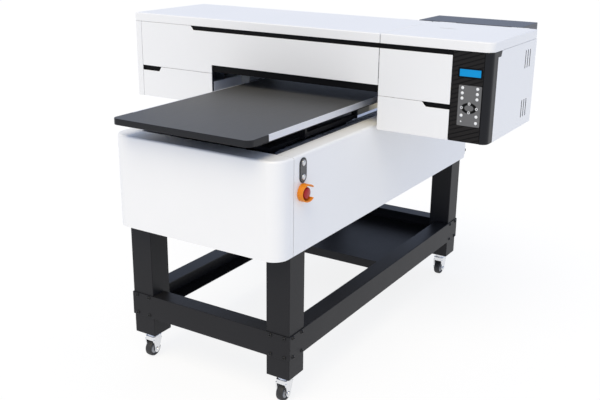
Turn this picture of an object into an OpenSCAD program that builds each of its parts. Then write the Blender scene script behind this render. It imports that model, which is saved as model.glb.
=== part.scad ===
// Flatbed UV printer: sliding bed on a boxed base, bridge-type print head and a rolling stand.
// Frame: +Z up, front towards -Y, origin on the floor under the middle of the whole machine.

/* [Stand] */
// Outer size of the square leg tubes
leg_w = 84; // [70:1:90]
// Distance of each leg's centre from the middle plane
leg_x = 268.5; // [240:0.5:268.5]
// Height of the casters
caster_h = 94; // [90:1:110]
// Caster wheel diameter
wheel_d = 56; // [46:1:56]
// Underside of the stand's beams
beam_z = 161; // [150:1:220]
// Height of the beams
beam_h = 81; // [60:1:100]
// Width of the beams' flanges
flange_w = 60; // [40:1:60]

/* [Base box] */
// Half of the base box's width
box_hw = 313; // [312:0.5:318]
// Underside of the base box
box_z0 = 499; // [470:1:500]
// Top deck of the base box
box_z1 = 799.5; // [798:0.5:801]
// Front corner radius of the base box
box_r = 50; // [30:1:60]
// Distance from the front of the base box to its side seam
seam_d = 76; // [74:1:90]
// Thickness of the cover sheets
sheet = 3; // [2:0.5:3]

/* [Bed] */
// Half of the bed's width
bed_hw = 254; // [220:1:256]
// Length of the bed
bed_l = 860; // [800:1:870]
// Thickness of the bed plate
bed_t = 20; // [16:1:24]
// Height of the bed's top face
bed_z = 866; // [862:1:868]

/* [Head] */
// Half of the head's width
head_hw = 700; // [690:1:720]
// Underside of the head
head_z0 = 787; // [780:1:788]
// Top of the head
head_z1 = 1098; // [1096:1:1110]
// Height of the hinged covers' skirts
lid_h = 30; // [26:1:34]
// Front lower edge of the cover above the bed opening
opening_z = 933.5; // [920:0.5:945]
// Left and right edges of the bed opening
opening_x0 = -344; // [-350:1:-330]
opening_x1 = 326; // [320:1:335]

/* [Hidden] */
$fn = 64;

// Stations along the machine
box_y0 = -682;
box_y1 = 716;
bed_y0 = -738;
head_y0 = -127;
head_y1 = 292;
leg_y = [-578, 639];
seam_y = box_y0 + seam_d;
// Stand
leg_z0 = caster_h;
leg_plate = 12;
leg_face = leg_x + leg_w / 2;
stem_d = 12;
bolt_d = 8;
bolt_pitch = 50;
bolt_dz = 64;
bolt_z = beam_z + (beam_h - bolt_dz) / 2;
tray_z = beam_z + 21;
tray_y0 = 195;
trail = 8;
tyre_w = 24;
fork_gap = 30;
fork_t = 5;
axle_z = wheel_d / 2;
crown_z = wheel_d + 5;
// Base
deck_x = box_hw - 58;
rail_x = 160;
rail_beam_z = [636, 756];
rail_s = 20;
bearer_y = [[-600, -540], [0, 120], [600, 660]];
pulley_r = 12;
belt_t = 1.8;
bed_pulley_y = [-570, 630];
bed_belt_z = 772;
panel_x = box_hw + 2.5;
button_y = -558;
button_z = [774, 732];
button_d = 18;
estop_y = -561;
estop_z = 686;
// Bed
bed_y1 = bed_y0 + bed_l;
frame_t = 18;
carriage_z = [790, 800];
post_xy = [[90, -500], [90, -120], [-90, -500], [-90, -120]];
post_d = 16;
// Head
lid_z = head_z1 - lid_h;
slot_z = lid_z - 16;
door_z = 903;
beam_front = 0;
gantry_z = [930, 1030];
belt_z = 957;
x_pulley = 610;
car_x = [400, 560];
park_x = (car_x[0] + car_x[1]) / 2;
hinge_y = 293;
hinge_z = head_z1 - 5;
door_hinge = [-120.5, 791];
door_barrel = 6.8;
panel_edge = 575;
column_x = 677;
column_r = 22;
column_y = -76;
cover_hinges = [-600, 200];
lid_hinges = [350, 610];
left_hinges = [-640, -430];
right_hinges = [350, 500];
hinge_l = 60;
pin_d = 4;
fit = 0.1;

// ---------- helpers ----------
module slab(x, y, z) translate([x[0], y[0], z[0]]) cube([x[1] - x[0], y[1] - y[0], z[1] - z[0]]);
module rod_x(x, y, z, d) translate([x[0], y, z]) rotate([0, 90, 0]) cylinder(d = d, h = x[1] - x[0]);
module rod_y(x, y, z, d) translate([x, y[0], z]) rotate([-90, 0, 0]) cylinder(d = d, h = y[1] - y[0]);
module rod_z(x, y, z, d) translate([x, y, z[0]]) cylinder(d = d, h = z[1] - z[0]);
module both_sides() { children(); mirror([1, 0, 0]) children(); }

// A flat outline in X and Z, given depth along Y
module upright(y, z0 = 0) translate([0, y[1], z0]) rotate([90, 0, 0]) linear_extrude(y[1] - y[0]) children();

// A flat outline in Y and Z, given depth along X
module sideways(x) translate([x[0], 0, 0]) rotate([90, 0, 90]) linear_extrude(x[1] - x[0]) children();

module rounded(x, y, r) {
    translate([x[0] + r, y[0]]) square([x[1] - x[0] - 2 * r, y[1] - y[0]]);
    translate([x[0], y[0] + r]) square([x[1] - x[0], y[1] - y[0] - 2 * r]);
    for (i = [x[0] + r, x[1] - r], j = [y[0] + r, y[1] - r]) translate([i, j]) circle(r);
}

module stadium(a, b, r) {
    for (p = [a, b]) translate([p, 0]) circle(r);
    translate([a, -r]) square([b - a, 2 * r]);
}

module belt_loop(a, b, r) difference() { stadium(a, b, r + 0.3 + belt_t); stadium(a, b, r + 0.3); }

// ---------- stand ----------
module leg_bolts(d, l) for (s = [-1, 1], j = [0, 1], k = [0, 1], o = [-1, 1]) {
    e = j == 0 ? -1 : 1;
    y = leg_y[j] + e * leg_w / 2;
    z = bolt_z + k * bolt_dz;
    rod_y(s * leg_x + o * bolt_pitch / 2, e < 0 ? [y - sheet, y - sheet + l] : [y + sheet - l, y + sheet], z, d);
    x = s * leg_face;
    rod_x(s < 0 ? [x - sheet, x - sheet + l] : [x + sheet - l, x + sheet], leg_y[j] + o * bolt_pitch / 2, z, d);
}

module stand_legs() color("#2b2b2d") difference() {
    for (s = [-1, 1], y = leg_y) translate([s * leg_x, y, 0]) difference() {
        slab([-leg_w / 2, leg_w / 2], [-leg_w / 2, leg_w / 2], [leg_z0, box_z0]);
        slab([3 - leg_w / 2, leg_w / 2 - 3], [3 - leg_w / 2, leg_w / 2 - 3], [leg_z0 + leg_plate, box_z0 + 1]);
        rod_z(0, 0, [leg_z0 - 1, leg_z0 + leg_plate + 1], stem_d + fit);
    }
    leg_bolts(bolt_d + 0.4, 12);
}

// One channel with its web on the outside, running along X
module channel(l, web_l) {
    slab([-web_l / 2, web_l / 2], [-sheet, 0], [beam_z, beam_z + beam_h]);
    for (z = [beam_z, beam_z + beam_h - sheet]) slab([-l / 2, l / 2], [-1, flange_w], [z, z + sheet]);
}

module stand_beams() color("#2b2b2d") difference() {
    union() {
        inner_x = 2 * leg_x - leg_w - 1;
        inner_y = leg_y[1] - leg_y[0] - leg_w - 1;
        mid_y = (leg_y[0] + leg_y[1]) / 2;
        translate([0, leg_y[0] - leg_w / 2, 0]) channel(inner_x, 2 * leg_face + 2 * sheet);
        translate([0, leg_y[1] + leg_w / 2, 0]) mirror([0, 1, 0]) channel(inner_x, 2 * leg_face + 2 * sheet);
        both_sides() translate([leg_face, mid_y, 0]) rotate([0, 0, 90])
            channel(inner_y, leg_y[1] - leg_y[0] + leg_w - 1);
    }
    leg_bolts(bolt_d + 0.4, 12);
}

module stand_bolts() color("#151515") {
    leg_bolts(bolt_d, 11);
    for (s = [-1, 1], j = [0, 1], k = [0, 1], o = [-1, 1]) {
        e = j == 0 ? -1 : 1;
        y = leg_y[j] + e * (leg_w / 2 + sheet);
        x = s * (leg_face + sheet);
        z = bolt_z + k * bolt_dz;
        translate([s * leg_x + o * bolt_pitch / 2, y, z]) rotate([90 * -e, 0, 0]) button_head();
        translate([x, leg_y[j] + o * bolt_pitch / 2, z]) rotate([0, 90 * s, 0]) button_head();
    }
}

module button_head() rotate_extrude() polygon([[0, 0], [6.5, 0], [6.5, 1.4], [5, 3.2], [2.6, 4], [0, 4]]);

module shelf_tray() color("#242526") {
    side = leg_face - 4;
    back = leg_y[1] + leg_w / 2 - 2;
    notch = leg_y[1] - leg_w / 2 - 3;
    neck = leg_x - leg_w / 2 - 3;
    slab([-side, side], [tray_y0 + 3, notch], [tray_z - sheet, tray_z]);
    slab([-neck, neck], [notch - 1, back], [tray_z - sheet, tray_z]);
    slab([3 - neck, neck - 3], [tray_y0, tray_y0 + sheet + 1], [tray_z - 34, tray_z]);
    both_sides() slab([side - sheet, side], [tray_y0 + 3, notch], [beam_z + sheet, tray_z - 1]);
}

// ---------- casters ----------
module at_leg(i, j) translate([(2 * i - 1) * leg_x, leg_y[j], 0]) children();

module caster_fork() color("#d9dbe0") difference() {
    union() {
        rod_z(0, 0, [crown_z + 10, leg_z0 + leg_plate - 2], stem_d);
        rod_z(0, 0, [crown_z + 10, leg_z0 - 0.3], 40);
        translate([0, 0, crown_z]) linear_extrude(14) rounded([-20, 20], [-24, 20], 8);
        both_sides() sideways([fork_gap / 2, fork_gap / 2 + fork_t]) {
            polygon([[-24, crown_z + 4], [18, crown_z + 4], [9 - trail, axle_z - 4], [-10 - trail, axle_z]]);
            translate([-trail, axle_z]) circle(12);
        }
    }
    rod_x([-30, 30], -trail, axle_z, 8 + fit);
}

module caster_wheel() {
    color("#1c1c1e") translate([0, -trail, axle_z]) rotate([0, 90, 0]) rotate_extrude(convexity = 4) {
        polygon([[4, -14.5], [9, -14.5], [12, -9], [wheel_d / 2 - 9, -9], [wheel_d / 2 - 7, -tyre_w / 2],
                 [wheel_d / 2 - 3, -tyre_w / 2], [wheel_d / 2, -tyre_w / 4], [wheel_d / 2, tyre_w / 4],
                 [wheel_d / 2 - 3, tyre_w / 2], [wheel_d / 2 - 7, tyre_w / 2], [wheel_d / 2 - 9, 9],
                 [12, 9], [9, 14.5], [4, 14.5]]);
    }
    color("#9a9ca2") {
        rod_x([-22, 22], -trail, axle_z, 8);
        both_sides() rod_x([20.3, 24], -trail, axle_z, 13);
    }
}

module caster_fork_fl() at_leg(0, 0) caster_fork();
module caster_fork_fr() at_leg(1, 0) caster_fork();
module caster_fork_rl() at_leg(0, 1) caster_fork();
module caster_fork_rr() at_leg(1, 1) caster_fork();
module caster_wheel_fl() at_leg(0, 0) caster_wheel();
module caster_wheel_fr() at_leg(1, 0) caster_wheel();
module caster_wheel_rl() at_leg(0, 1) caster_wheel();
module caster_wheel_rr() at_leg(1, 1) caster_wheel();

// ---------- base ----------
// Plan of the base with round front corners, drawn smaller by an inset
module base_plan(inset, back) {
    w = box_hw - inset;
    r = box_r - inset;
    y = box_y0 + inset;
    intersection() {
        union() {
            translate([-w, y + r]) square([2 * w, back - y]);
            translate([-w + r, y]) square([2 * w - 2 * r, r + 1]);
            for (s = [-1, 1]) translate([s * (w - r), y + r]) circle(r);
        }
        translate([-w - 1, y - 1]) square([2 * w + 2, back - y + 1]);
    }
}

module base_chassis() color("#8a8d92") {
    translate([0, 0, box_z0]) linear_extrude(4) base_plan(sheet + 1, box_y1 - 1);
    for (y = bearer_y) difference() {
        slab([-306, 306], y, [box_z0 + 4, rail_beam_z[0]]);
        slab([-307, 307], [y[0] + 4, y[1] - 4], [box_z0 + 8, rail_beam_z[0] - 4]);
    }
    both_sides() difference() {
        slab([rail_x - 30, rail_x + 30], [-600, 700], rail_beam_z);
        slab([rail_x - 26, rail_x + 26], [-601, 701], [rail_beam_z[0] + 4, rail_beam_z[1] - 4]);
    }
    for (y = bed_pulley_y) both_sides() difference() {
        slab([20, 24], [y - 24, y + 24], [rail_beam_z[0], bed_belt_z + 11]);
        rod_x([19, 25], y, bed_belt_z, 10 + fit);
    }
    slab([42, 100], [bed_pulley_y[1] - 24, bed_pulley_y[1] + 24], [rail_beam_z[0], bed_belt_z - 28.5]);
}

module linear_rails() color("#b9bcc2") {
    both_sides() bed_rail();
    slab([-590, 590], [-16, 0], [belt_z + 30, belt_z + 50]);
}

module bed_rail() difference() {
    slab([rail_x - rail_s / 2, rail_x + rail_s / 2], [-590, 700], [rail_beam_z[1], rail_beam_z[1] + rail_s]);
    for (x = [rail_x - rail_s / 2, rail_x + rail_s / 2]) translate([x, -591, rail_beam_z[1] + 10])
        rotate([0, 45, 0]) translate([-2, 0, -2]) cube([4, 1292, 4]);
}

module base_front_cover() color("#f1f1f2") difference() {
    translate([0, 0, box_z0]) linear_extrude(box_z1 - box_z0) base_plan(0, seam_y);
    translate([0, 0, box_z0 - 1]) linear_extrude(box_z1 - box_z0 + 1 - sheet) base_plan(sheet, seam_y + 1);
}

module base_side() {
    y = [seam_y + 1, box_y1];
    slab([box_hw - sheet, box_hw], y, [box_z0, box_z1]);
    difference() {
        slab([deck_x, box_hw - 1], y, [box_z1 - sheet, box_z1]);
        slab([266, 306], [-2, 122], [box_z1 - sheet - 1, box_z1 + 1]);
    }
    slab([deck_x, deck_x + sheet], y, [box_z1 - 24, box_z1 - 1]);
}

module base_left_cover() color("#f1f1f2") mirror([1, 0, 0]) base_side();

module base_right_cover() color("#f1f1f2") difference() {
    base_side();
    for (z = button_z) rod_x([box_hw - 9, box_hw + 1], button_y, z, button_d + 2);
    rod_x([box_hw - 9, box_hw + 1], estop_y, estop_z, 18);
}

module base_rear_cover() color("#e9e9ea") {
    difference() {
        slab([-box_hw, box_hw], [box_y1, box_y1 + 14], [box_z0 + 13, box_z1]);
        slab([-box_hw + sheet, box_hw - sheet], [box_y1 - 1, box_y1 + 14 - sheet],
             [box_z0 + 13 + sheet, box_z1 - sheet]);
    }
    slab([-deck_x, deck_x], [box_y1 - 12, box_y1 + 1], [box_z1 - sheet, box_z1]);
}

module rear_knobs() color("#111111") both_sides()
    translate([box_hw - 10, box_y1 + 14, box_z0 + 28]) rotate([-90, 0, 0]) rotate_extrude()
        polygon([[0, 0], [5, 0], [9, 2], [9, 7], [7.5, 8], [0, 8]]);

module button_plate() color("#3f4247") translate([0, button_y, 0]) difference() {
    sideways([box_hw, panel_x]) translate([0, 752]) rotate(90) stadium(-19, 19, 18.5);
    for (z = button_z) rod_x([box_hw - 1, panel_x + 1], 0, z, button_d + fit);
}

// Domed metal cap on a plunger, centred on the X axis
module push_button() color("#c9ccd2") translate([box_hw - 12, 0, 0]) rotate([0, 90, 0]) rotate_extrude()
    polygon([[0, 0], [button_d / 2, 0], [button_d / 2, 16], [button_d / 2 - 1.5, 17.5], [4, 18.5], [0, 18.8]]);
module power_button() translate([0, button_y, button_z[0]]) push_button();
module light_button() translate([0, button_y, button_z[1]]) push_button();

// Ring wall, open towards the rear, whose rim rises from front to rear, on a flat base disc
module estop_guard() color("#eb9420") translate([box_hw, estop_y, estop_z]) {
    difference() {
        rod_x([0, 4], 0, 0, 50);
        rod_x([-1, 5], 0, 0, 16 + fit);
    }
    difference() {
        rotate([0, 90, 0]) rotate([0, 0, 130]) rotate_extrude(angle = 280)
            polygon([[23.5, 0], [27, 0], [27, 30], [23.5, 30]]);
        translate([17.5, -27, 0]) rotate([0, 0, -12.5]) slab([0, 60], [-20, 80], [-40, 40]);
    }
}

module estop_mushroom() color("#b0151a") translate([box_hw, estop_y, estop_z]) rotate([0, 90, 0]) rotate_extrude()
    polygon([[0, -10], [8, -10], [8, 10.5], [15, 10.5], [17.3, 12.5], [17.3, 17], [15.5, 19.8], [9, 21.6], [0, 22]]);

module electronics_box() color("#6f7378") slab([-120, 120], [-420, -150], [box_z0 + 4, box_z0 + 95]);

module drive_motors() color("#2d2f33") {
    slab([42, 100], [bed_pulley_y[1] - 28.5, bed_pulley_y[1] + 28.5], [bed_belt_z - 28.5, bed_belt_z + 11]);
    slab([-x_pulley - 21, -x_pulley + 21], [5.8, 54], [belt_z - 22, belt_z + 21]);
}

module pulley_on_shaft(l0, l1) {
    rod_x([-11, 11], 0, 0, 2 * pulley_r);
    for (x = [[-13, -11], [11, 13]]) rod_x(x, 0, 0, 2 * pulley_r + 1);
    rod_x([l0, l1], 0, 0, 10);
}
module bed_pulley() color("#a9abb0") translate([0, bed_pulley_y[1], bed_belt_z]) pulley_on_shaft(-26, 41.7);
module bed_idler() color("#a9abb0") translate([0, bed_pulley_y[0], bed_belt_z]) pulley_on_shaft(-26, 26);

module bed_belt() color("#1a1a1a") translate([0, 0, bed_belt_z]) sideways([-10, 10])
    belt_loop(bed_pulley_y[0], bed_pulley_y[1], pulley_r);

// Energy chain: two runs and a half turn, with a raised band on every link
module drag_chain() color("#1b1c1f") {
    x = [deck_x - 29, deck_x - 3];
    y0 = -560;
    y1 = 150;
    z = 759;
    slab([x[0] + 1, x[1] - 1], [y0, y1], [z + 14, z + 37]);
    slab([x[0] + 1, x[1] - 1], [y0, y0 + 300], [z - 37, z - 14]);
    for (i = [0:22]) translate([0, y0 + 4 + 31 * i, 0]) slab(x, [0, 24], [z + 13, z + 38]);
    for (i = [0:8]) translate([0, y0 + 4 + 31 * i, 0]) slab(x, [0, 24], [z - 38, z - 13]);
    translate([x[0] + 1, y0, z]) rotate([0, 90, 0]) rotate([0, 0, 180]) rotate_extrude(angle = 180)
        translate([14, 0]) square([23, x[1] - x[0] - 2]);
    slab([rail_x + 30, x[0] + 4], [y0 + 100, y0 + 200], [z - 38, z - 34]);
    slab([rail_x + 30, rail_x + 34], [y0 + 100, y0 + 200], [z - 38, z - 10]);
}

// ---------- bed ----------
module bed_carriage() color("#232427") difference() {
    union() {
        slab([-200, 200], [-560, -60], carriage_z);
        for (y = [-540, -160]) both_sides() slab([rail_x - 28, rail_x + 28], [y, y + 80],
                                                 [rail_beam_z[1] + 5, carriage_z[0] + 1]);
        for (p = post_xy) rod_z(p[0], p[1], [carriage_z[0] - 22, carriage_z[0] + 1], 32);
    }
    both_sides() slab([rail_x - rail_s / 2 - 0.25, rail_x + rail_s / 2 + 0.25], [-600, 0],
                      [rail_beam_z[1] + 1, rail_beam_z[1] + rail_s + 0.25]);
    for (p = post_xy) rod_z(p[0], p[1], [carriage_z[0] - 30, carriage_z[1] + 2], post_d + fit);
    slab([-60, 60], [-440, -200], [carriage_z[0] - 1, carriage_z[1] + 1]);
}

module platen_frame() color("#1f2022") {
    z = [bed_z - bed_t - frame_t, bed_z - bed_t];
    y = [bed_y0 + 80, bed_y1 - 30];
    both_sides() {
        slab([185, 220], y, z);
        slab([203, 220], [-386, -60], [z[0] - 27, z[0] - 13]);
        for (j = [[-397, -385], [-72, -60]]) slab([203, 220], j, [z[0] - 28, z[0] + 1]);
    }
    for (j = [y[0], -520, -140, y[1] - 40]) slab([-190, 190], [j, j + 40], z);
    for (p = post_xy) rod_z(p[0], p[1], [745, z[1] - 1], post_d);
}

module platen() color("#55575a") difference() {
    translate([0, 0, bed_z - bed_t]) linear_extrude(bed_t) rounded([-bed_hw, bed_hw], [bed_y0, bed_y1], 22);
    both_sides() slab([bed_hw - 3.5, bed_hw + 1], [bed_y0 + 94, bed_y1 - 45], [bed_z - bed_t - 1, bed_z + 1]);
}

module platen_strips() color("#e6e8ee") both_sides()
    slab([bed_hw - 3.5, bed_hw], [bed_y0 + 94.3, bed_y1 - 45.3], [bed_z - bed_t, bed_z - 0.2]);

// ---------- gantry and carriage ----------
module gantry_uprights() color("#8a8d92") both_sides() difference() {
    slab([268, 304], [0, 120], [rail_beam_z[0], gantry_z[0]]);
    slab([272, 300], [4, 116], [rail_beam_z[0] - 1, gantry_z[0] + 1]);
}

module gantry_beam() color("#26282b") difference() {
    union() {
        slab([-640, 640], [0, 100], gantry_z);
        slab([-262, 262], [-6, 1], [900, 950]);
    }
    slab([-641, 641], [5, 95], [gantry_z[0] + 5, gantry_z[1] - 5]);
    for (x = [-x_pulley, x_pulley]) rod_y(x, [-1, 6], belt_z, 8 + fit);
}

module print_carriage() color("#303338") difference() {
    union() {
        slab(car_x, [-112, -24], [900, 1040]);
        slab([park_x - 50, park_x + 50], [-25, -2], [belt_z + 18, belt_z + 62]);
        slab([park_x - 12, park_x + 12], [-25, -17.5], [belt_z - 20, belt_z + 6]);
    }
    slab([car_x[0] + 4, car_x[1] - 4], [-108, -32], [899, 1036]);
    slab([park_x - 51, park_x + 51], [-16.25, 0], [belt_z + 29.75, belt_z + 50.25]);
}

module print_heads() color("#9da1a8") {
    for (x = [car_x[0] + 12, car_x[0] + 58]) slab([x, x + 36], [-105, -45], [884, 940]);
    slab([car_x[1] - 52, car_x[1] - 10], [-106, -40], [888, 950]);
    slab([car_x[0] + 4, car_x[1] - 4], [-108, -32], [932, 936]);
}

module carriage_belt() color("#1a1a1a") translate([0, 0, belt_z]) upright([-16, -8])
    belt_loop(-x_pulley, x_pulley, pulley_r);

module carriage_wheel() color("#a9abb0") {
    rod_y(0, [-16, -8], 0, 2 * pulley_r);
    for (y = [[-17.5, -16], [-8, -6.5]]) rod_y(0, y, 0, 2 * pulley_r + 1);
    rod_y(0, [-20, 5.4], 0, 8);
}
module carriage_pulley() translate([-x_pulley, 0, belt_z]) carriage_wheel();
module carriage_idler() translate([x_pulley, 0, belt_z]) carriage_wheel();

module capping_station() color("#3a3d42") {
    difference() {
        slab([car_x[0] + 4, car_x[1] - 4], [-108, -36], [head_z0 + 3, 866]);
        slab([car_x[0] + 8, car_x[1] - 8], [-104, -40], [846, 867]);
    }
    for (x = [car_x[0] + 14, car_x[0] + 60]) slab([x, x + 32], [-100, -50], [845, 880]);
}

module ink_tanks() color("#d8dadf") for (i = [0:5]) {
    x = 276 + 60 * i;
    slab([x, x + 50], [330, 440], [958, 1060]);
    rod_z(x + 25, 385, [1059, 1074], 26);
}

// ---------- head covers ----------
module knuckles_fixed(xs, w) for (x = xs, k = [0, 2]) translate([x + k * w / 3 + (k == 0 ? 0 : 1), 0, 0]) children();
module knuckles_moving(xs, w) for (x = xs) translate([x + w / 3 + 0.5, 0, 0]) children();

module pin_bores(xs, y, z) for (x = xs) rod_x([x - 1, x + hinge_l + 1], y, z, pin_d + fit);

module hinge_pins() color("#8e9196") {
    for (x = concat(cover_hinges, lid_hinges)) rod_x([x, x + hinge_l], hinge_y, hinge_z, pin_d);
    for (x = concat(left_hinges, right_hinges)) rod_x([x, x + hinge_l], door_hinge[0], door_hinge[1], pin_d);
}

module head_pan(x0, x1, wall, ribs) {
    slab([x0, x1], [-112, head_y1 - 3], [head_z0, head_z0 + 3]);
    slab(wall, [-112, head_y1 - 3], [head_z0 + 1, 872]);
    for (x = ribs) slab([x, x + 4], [2, head_y1 - 3], [head_z0 + 1, gantry_z[0]]);
}

module head_pans() color("#c9ccd2") difference() {
    union() {
        head_pan(-head_hw + 3, opening_x0, [opening_x0 - 3, opening_x0], [-604]);
        head_pan(opening_x1 + 2, head_hw - 3, [opening_x1 + 2, opening_x1 + 5], [600]);
        knuckles_fixed(concat(left_hinges, right_hinges), hinge_l) {
            slab([0, 19], [-119, -111], [head_z0 + 1.5, door_hinge[1] + 1.5]);
            rod_x([0, 19], door_hinge[0], door_hinge[1], door_barrel);
        }
    }
    pin_bores(concat(left_hinges, right_hinges), door_hinge[0], door_hinge[1]);
    slab([panel_edge - 1, head_hw], [-113, -95], [head_z0 - 1, head_z0 + 4]);
}

module head_rear_panel() color("#e4e5e8") difference() {
    union() {
        slab([-head_hw + 3, head_hw - 3], [head_y1 - 3, head_y1], [head_z0, hinge_z - 7]);
        knuckles_fixed(concat(cover_hinges, lid_hinges), hinge_l) {
            slab([0, 19], [head_y1 - 3, head_y1 + 3], [hinge_z - 12, hinge_z]);
            rod_x([0, 19], hinge_y, hinge_z, 9);
        }
    }
    slab([opening_x0, opening_x1 + 2], [head_y1 - 4, head_y1 + 4], [head_z0 - 1, opening_z]);
    pin_bores(concat(cover_hinges, lid_hinges), hinge_y, hinge_z);
}

module left_side_cover() color("#f1f1f2") {
    slab([-head_hw, -head_hw + 3], [head_y0, head_y1], [head_z0, lid_z - 1]);
    slab([-head_hw, -head_hw + 28], [head_y0, head_y0 + 3], [head_z0, lid_z - 1]);
}

module pocket_outline() polygon([[column_y - 1, lid_z], [-44, lid_z], [-52, lid_z - 17], [column_y - 1, lid_z - 19]]);

module right_side_cover() color("#e7e9f2") difference() {
    slab([head_hw - 3, head_hw], [column_y + 0.5, head_y1], [head_z0, lid_z - 1]);
    for (y = [188, 210, 232], z = [817, 981]) slab([head_hw - 4, head_hw + 1], [y - 3, y + 3], [z, z + 59]);
    sideways([head_hw - 4, head_hw + 1]) pocket_outline();
}

module front_cover() color("#f4f4f5") {
    x0 = -head_hw + 29;
    x1 = opening_x1 - 1;
    upright([head_y0, head_y0 + 3]) polygon([[x0, door_z + 1], [opening_x0, door_z + 1], [opening_x0, opening_z],
        [x1, opening_z], [x1, slot_z], [-424, slot_z], [-436, lid_z - 1], [x0, lid_z - 1]]);
    slab([opening_x0, x1], [head_y0 + 2, head_y0 + 11], [opening_z, opening_z + 3]);
}

module cover_shell(x, r) difference() {
    translate([0, 0, lid_z]) linear_extrude(lid_h) cover_plan(x, r, 0);
    translate([0, 0, lid_z - 1]) linear_extrude(lid_h - 2) cover_plan(x, r, sheet);
}

// Plan of a hinged cover, with a round front right corner of radius r
module cover_plan(x, r, inset) {
    a = [x[0] + inset, x[1] - inset];
    y = [head_y0 + inset, head_y1 - 6 - inset];
    rr = r - inset;
    translate([a[0], y[0] + rr]) square([a[1] - a[0], y[1] - y[0] - rr]);
    translate([a[0], y[0]]) square([a[1] - a[0] - rr, rr + 1]);
    translate([a[1] - rr, y[0] + rr]) circle(rr);
}

// The hinge half of a cover: arms from its rear skirt to the pin
module cover_knuckles(xs) knuckles_moving(xs, hinge_l) {
    slab([0, 19], [head_y1 - 8, hinge_y], [hinge_z - 4, hinge_z + 1]);
    rod_x([0, 19], hinge_y, hinge_z, 9);
}

module top_cover() color("#f6f6f7") difference() {
    union() {
        cover_shell([-head_hw, opening_x1 - 1], 5);
        cover_knuckles(cover_hinges);
    }
    pin_bores(cover_hinges, hinge_y, hinge_z);
}

module right_lid() color("#f6f6f7") difference() {
    union() {
        cover_shell([opening_x1 + 1, head_hw], 28);
        cover_knuckles(lid_hinges);
    }
    pin_bores(lid_hinges, hinge_y, hinge_z);
    slab([420, 480], [119, 127], [head_z1 - 5, head_z1 + 1]);
}

module door_knuckles(xs) knuckles_moving(xs, hinge_l) {
    slab([0, 19], [head_y0 + 2, door_hinge[0]], [door_hinge[1] - 2, door_hinge[1] + 3]);
    rod_x([0, 19], door_hinge[0], door_hinge[1], door_barrel);
}

module left_door() color("#f1f1f2") difference() {
    union() {
        upright([head_y0, head_y0 + 3]) polygon([[-head_hw + 29, head_z0 + 1], [opening_x0, head_z0 + 1],
            [opening_x0, door_z], [-582, door_z], [-592, door_z - 17], [-head_hw + 29, door_z - 17]]);
        door_knuckles(left_hinges);
    }
    pin_bores(left_hinges, door_hinge[0], door_hinge[1]);
}

module right_door() color("#f1f1f2") difference() {
    union() {
        upright([head_y0, head_y0 + 3]) polygon([[opening_x1 + 1, head_z0 + 1], [panel_edge - 1, head_z0 + 1],
            [panel_edge - 1, door_z - 19], [495, door_z - 19], [481, door_z - 4], [opening_x1 + 1, door_z - 4]]);
        door_knuckles(right_hinges);
    }
    pin_bores(right_hinges, door_hinge[0], door_hinge[1]);
}

module right_panel() color("#f4f4f5") {
    slab([opening_x1 + 1, panel_edge - 1], [head_y0, head_y0 + 3], [door_z - 3, slot_z]);
    slab([opening_x1 + 2, opening_x1 + 5], [head_y0 + 2, -113], [door_z - 3, slot_z - 9]);
}

module control_panel() color("#17181a") difference() {
    slab([panel_edge, column_x], [head_y0 + 1, -96], [head_z0 + 1, lid_z - 1]);
    slab([panel_edge + 3, column_x - 3], [head_y0 + 4, -95], [head_z0 + 4, lid_z - 4]);
    slab([599, 669], [head_y0, head_y0 + 5], [990.5, 1014.5]);
}

module lcd() color("#0a90d0") slab([599.2, 668.8], [head_y0 + 1.6, head_y0 + 6], [990.7, 1014.3]);

module keypad() color("#6a6b6d") {
    slab([601, 674], [head_y0 - 0.4, head_y0 + 1], [840, 965]);
    for (x = [613, 661], z = [925, 941, 957]) key(x, z, 8);
    for (p = [[614, 872], [662, 872], [662, 852]]) key(p[0], p[1], 8);
    key(614, 853, 5);
    for (p = [[613.5, 896], [661.5, 896], [637.5, 908], [637.5, 884]]) key(p[0], p[1], 7);
}
module key(x, z, d) rod_y(x, [head_y0 - 1.6, head_y0], z, d);

module corner_column() color("#1d1f24") {
    translate([0, 0, head_z0 + 1]) linear_extrude(lid_z - head_z0 - 2) difference() {
        column_plan(0);
        column_plan(3);
    }
    sideways([head_hw - 3, head_hw]) intersection() {
        pocket_outline();
        translate([-200, lid_z - 30]) square([300, 29]);
    }
}
module column_plan(inset) {
    x1 = head_hw - inset;
    y0 = head_y0 + inset;
    r = column_r - inset;
    difference() {
        union() {
            translate([column_x + 0.5, y0 + r]) square([x1 - column_x - 0.5, column_y - y0 - r + (inset > 0 ? 1 : 0)]);
            translate([column_x + (inset > 0 ? -1 : 0.5), y0]) square([x1 - r - column_x, r + 1]);
            translate([x1 - r, y0 + r]) circle(r);
        }
        translate([column_x - 60, -200]) square([60.5 - (inset > 0 ? 3 : 0), 200]);
    }
}

module rear_cabinet() color("#4a4d55") difference() {
    union() {
        slab([265, 640], [head_y1, 480], [955, hinge_z - 12]);
        slab([265, 640], [head_y1 + 9, 480], [hinge_z - 13, head_z1]);
    }
    slab([268, 637], [head_y1 - 1, 477], [958, hinge_z - 15]);
    slab([268, 637], [head_y1 + 12, 477], [hinge_z - 16, head_z1 - 3]);
}

module recess_liners() color("#0e0e10") {
    slab([opening_x0 + 3, opening_x1 - 2], [head_y0 + 5, -113.5], [opening_z - 24, opening_z]);
    slab([-445, panel_edge - 1], [head_y0 + 3, head_y0 + 9], [slot_z - 8, lid_z - 2]);
    slab([-head_hw + 3, -574], [head_y0 + 7, head_y0 + 11], [door_z - 26, door_z + 6]);
    slab([474, panel_edge], [head_y0 + 7, head_y0 + 11], [door_z - 28, door_z + 2]);
}

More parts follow.
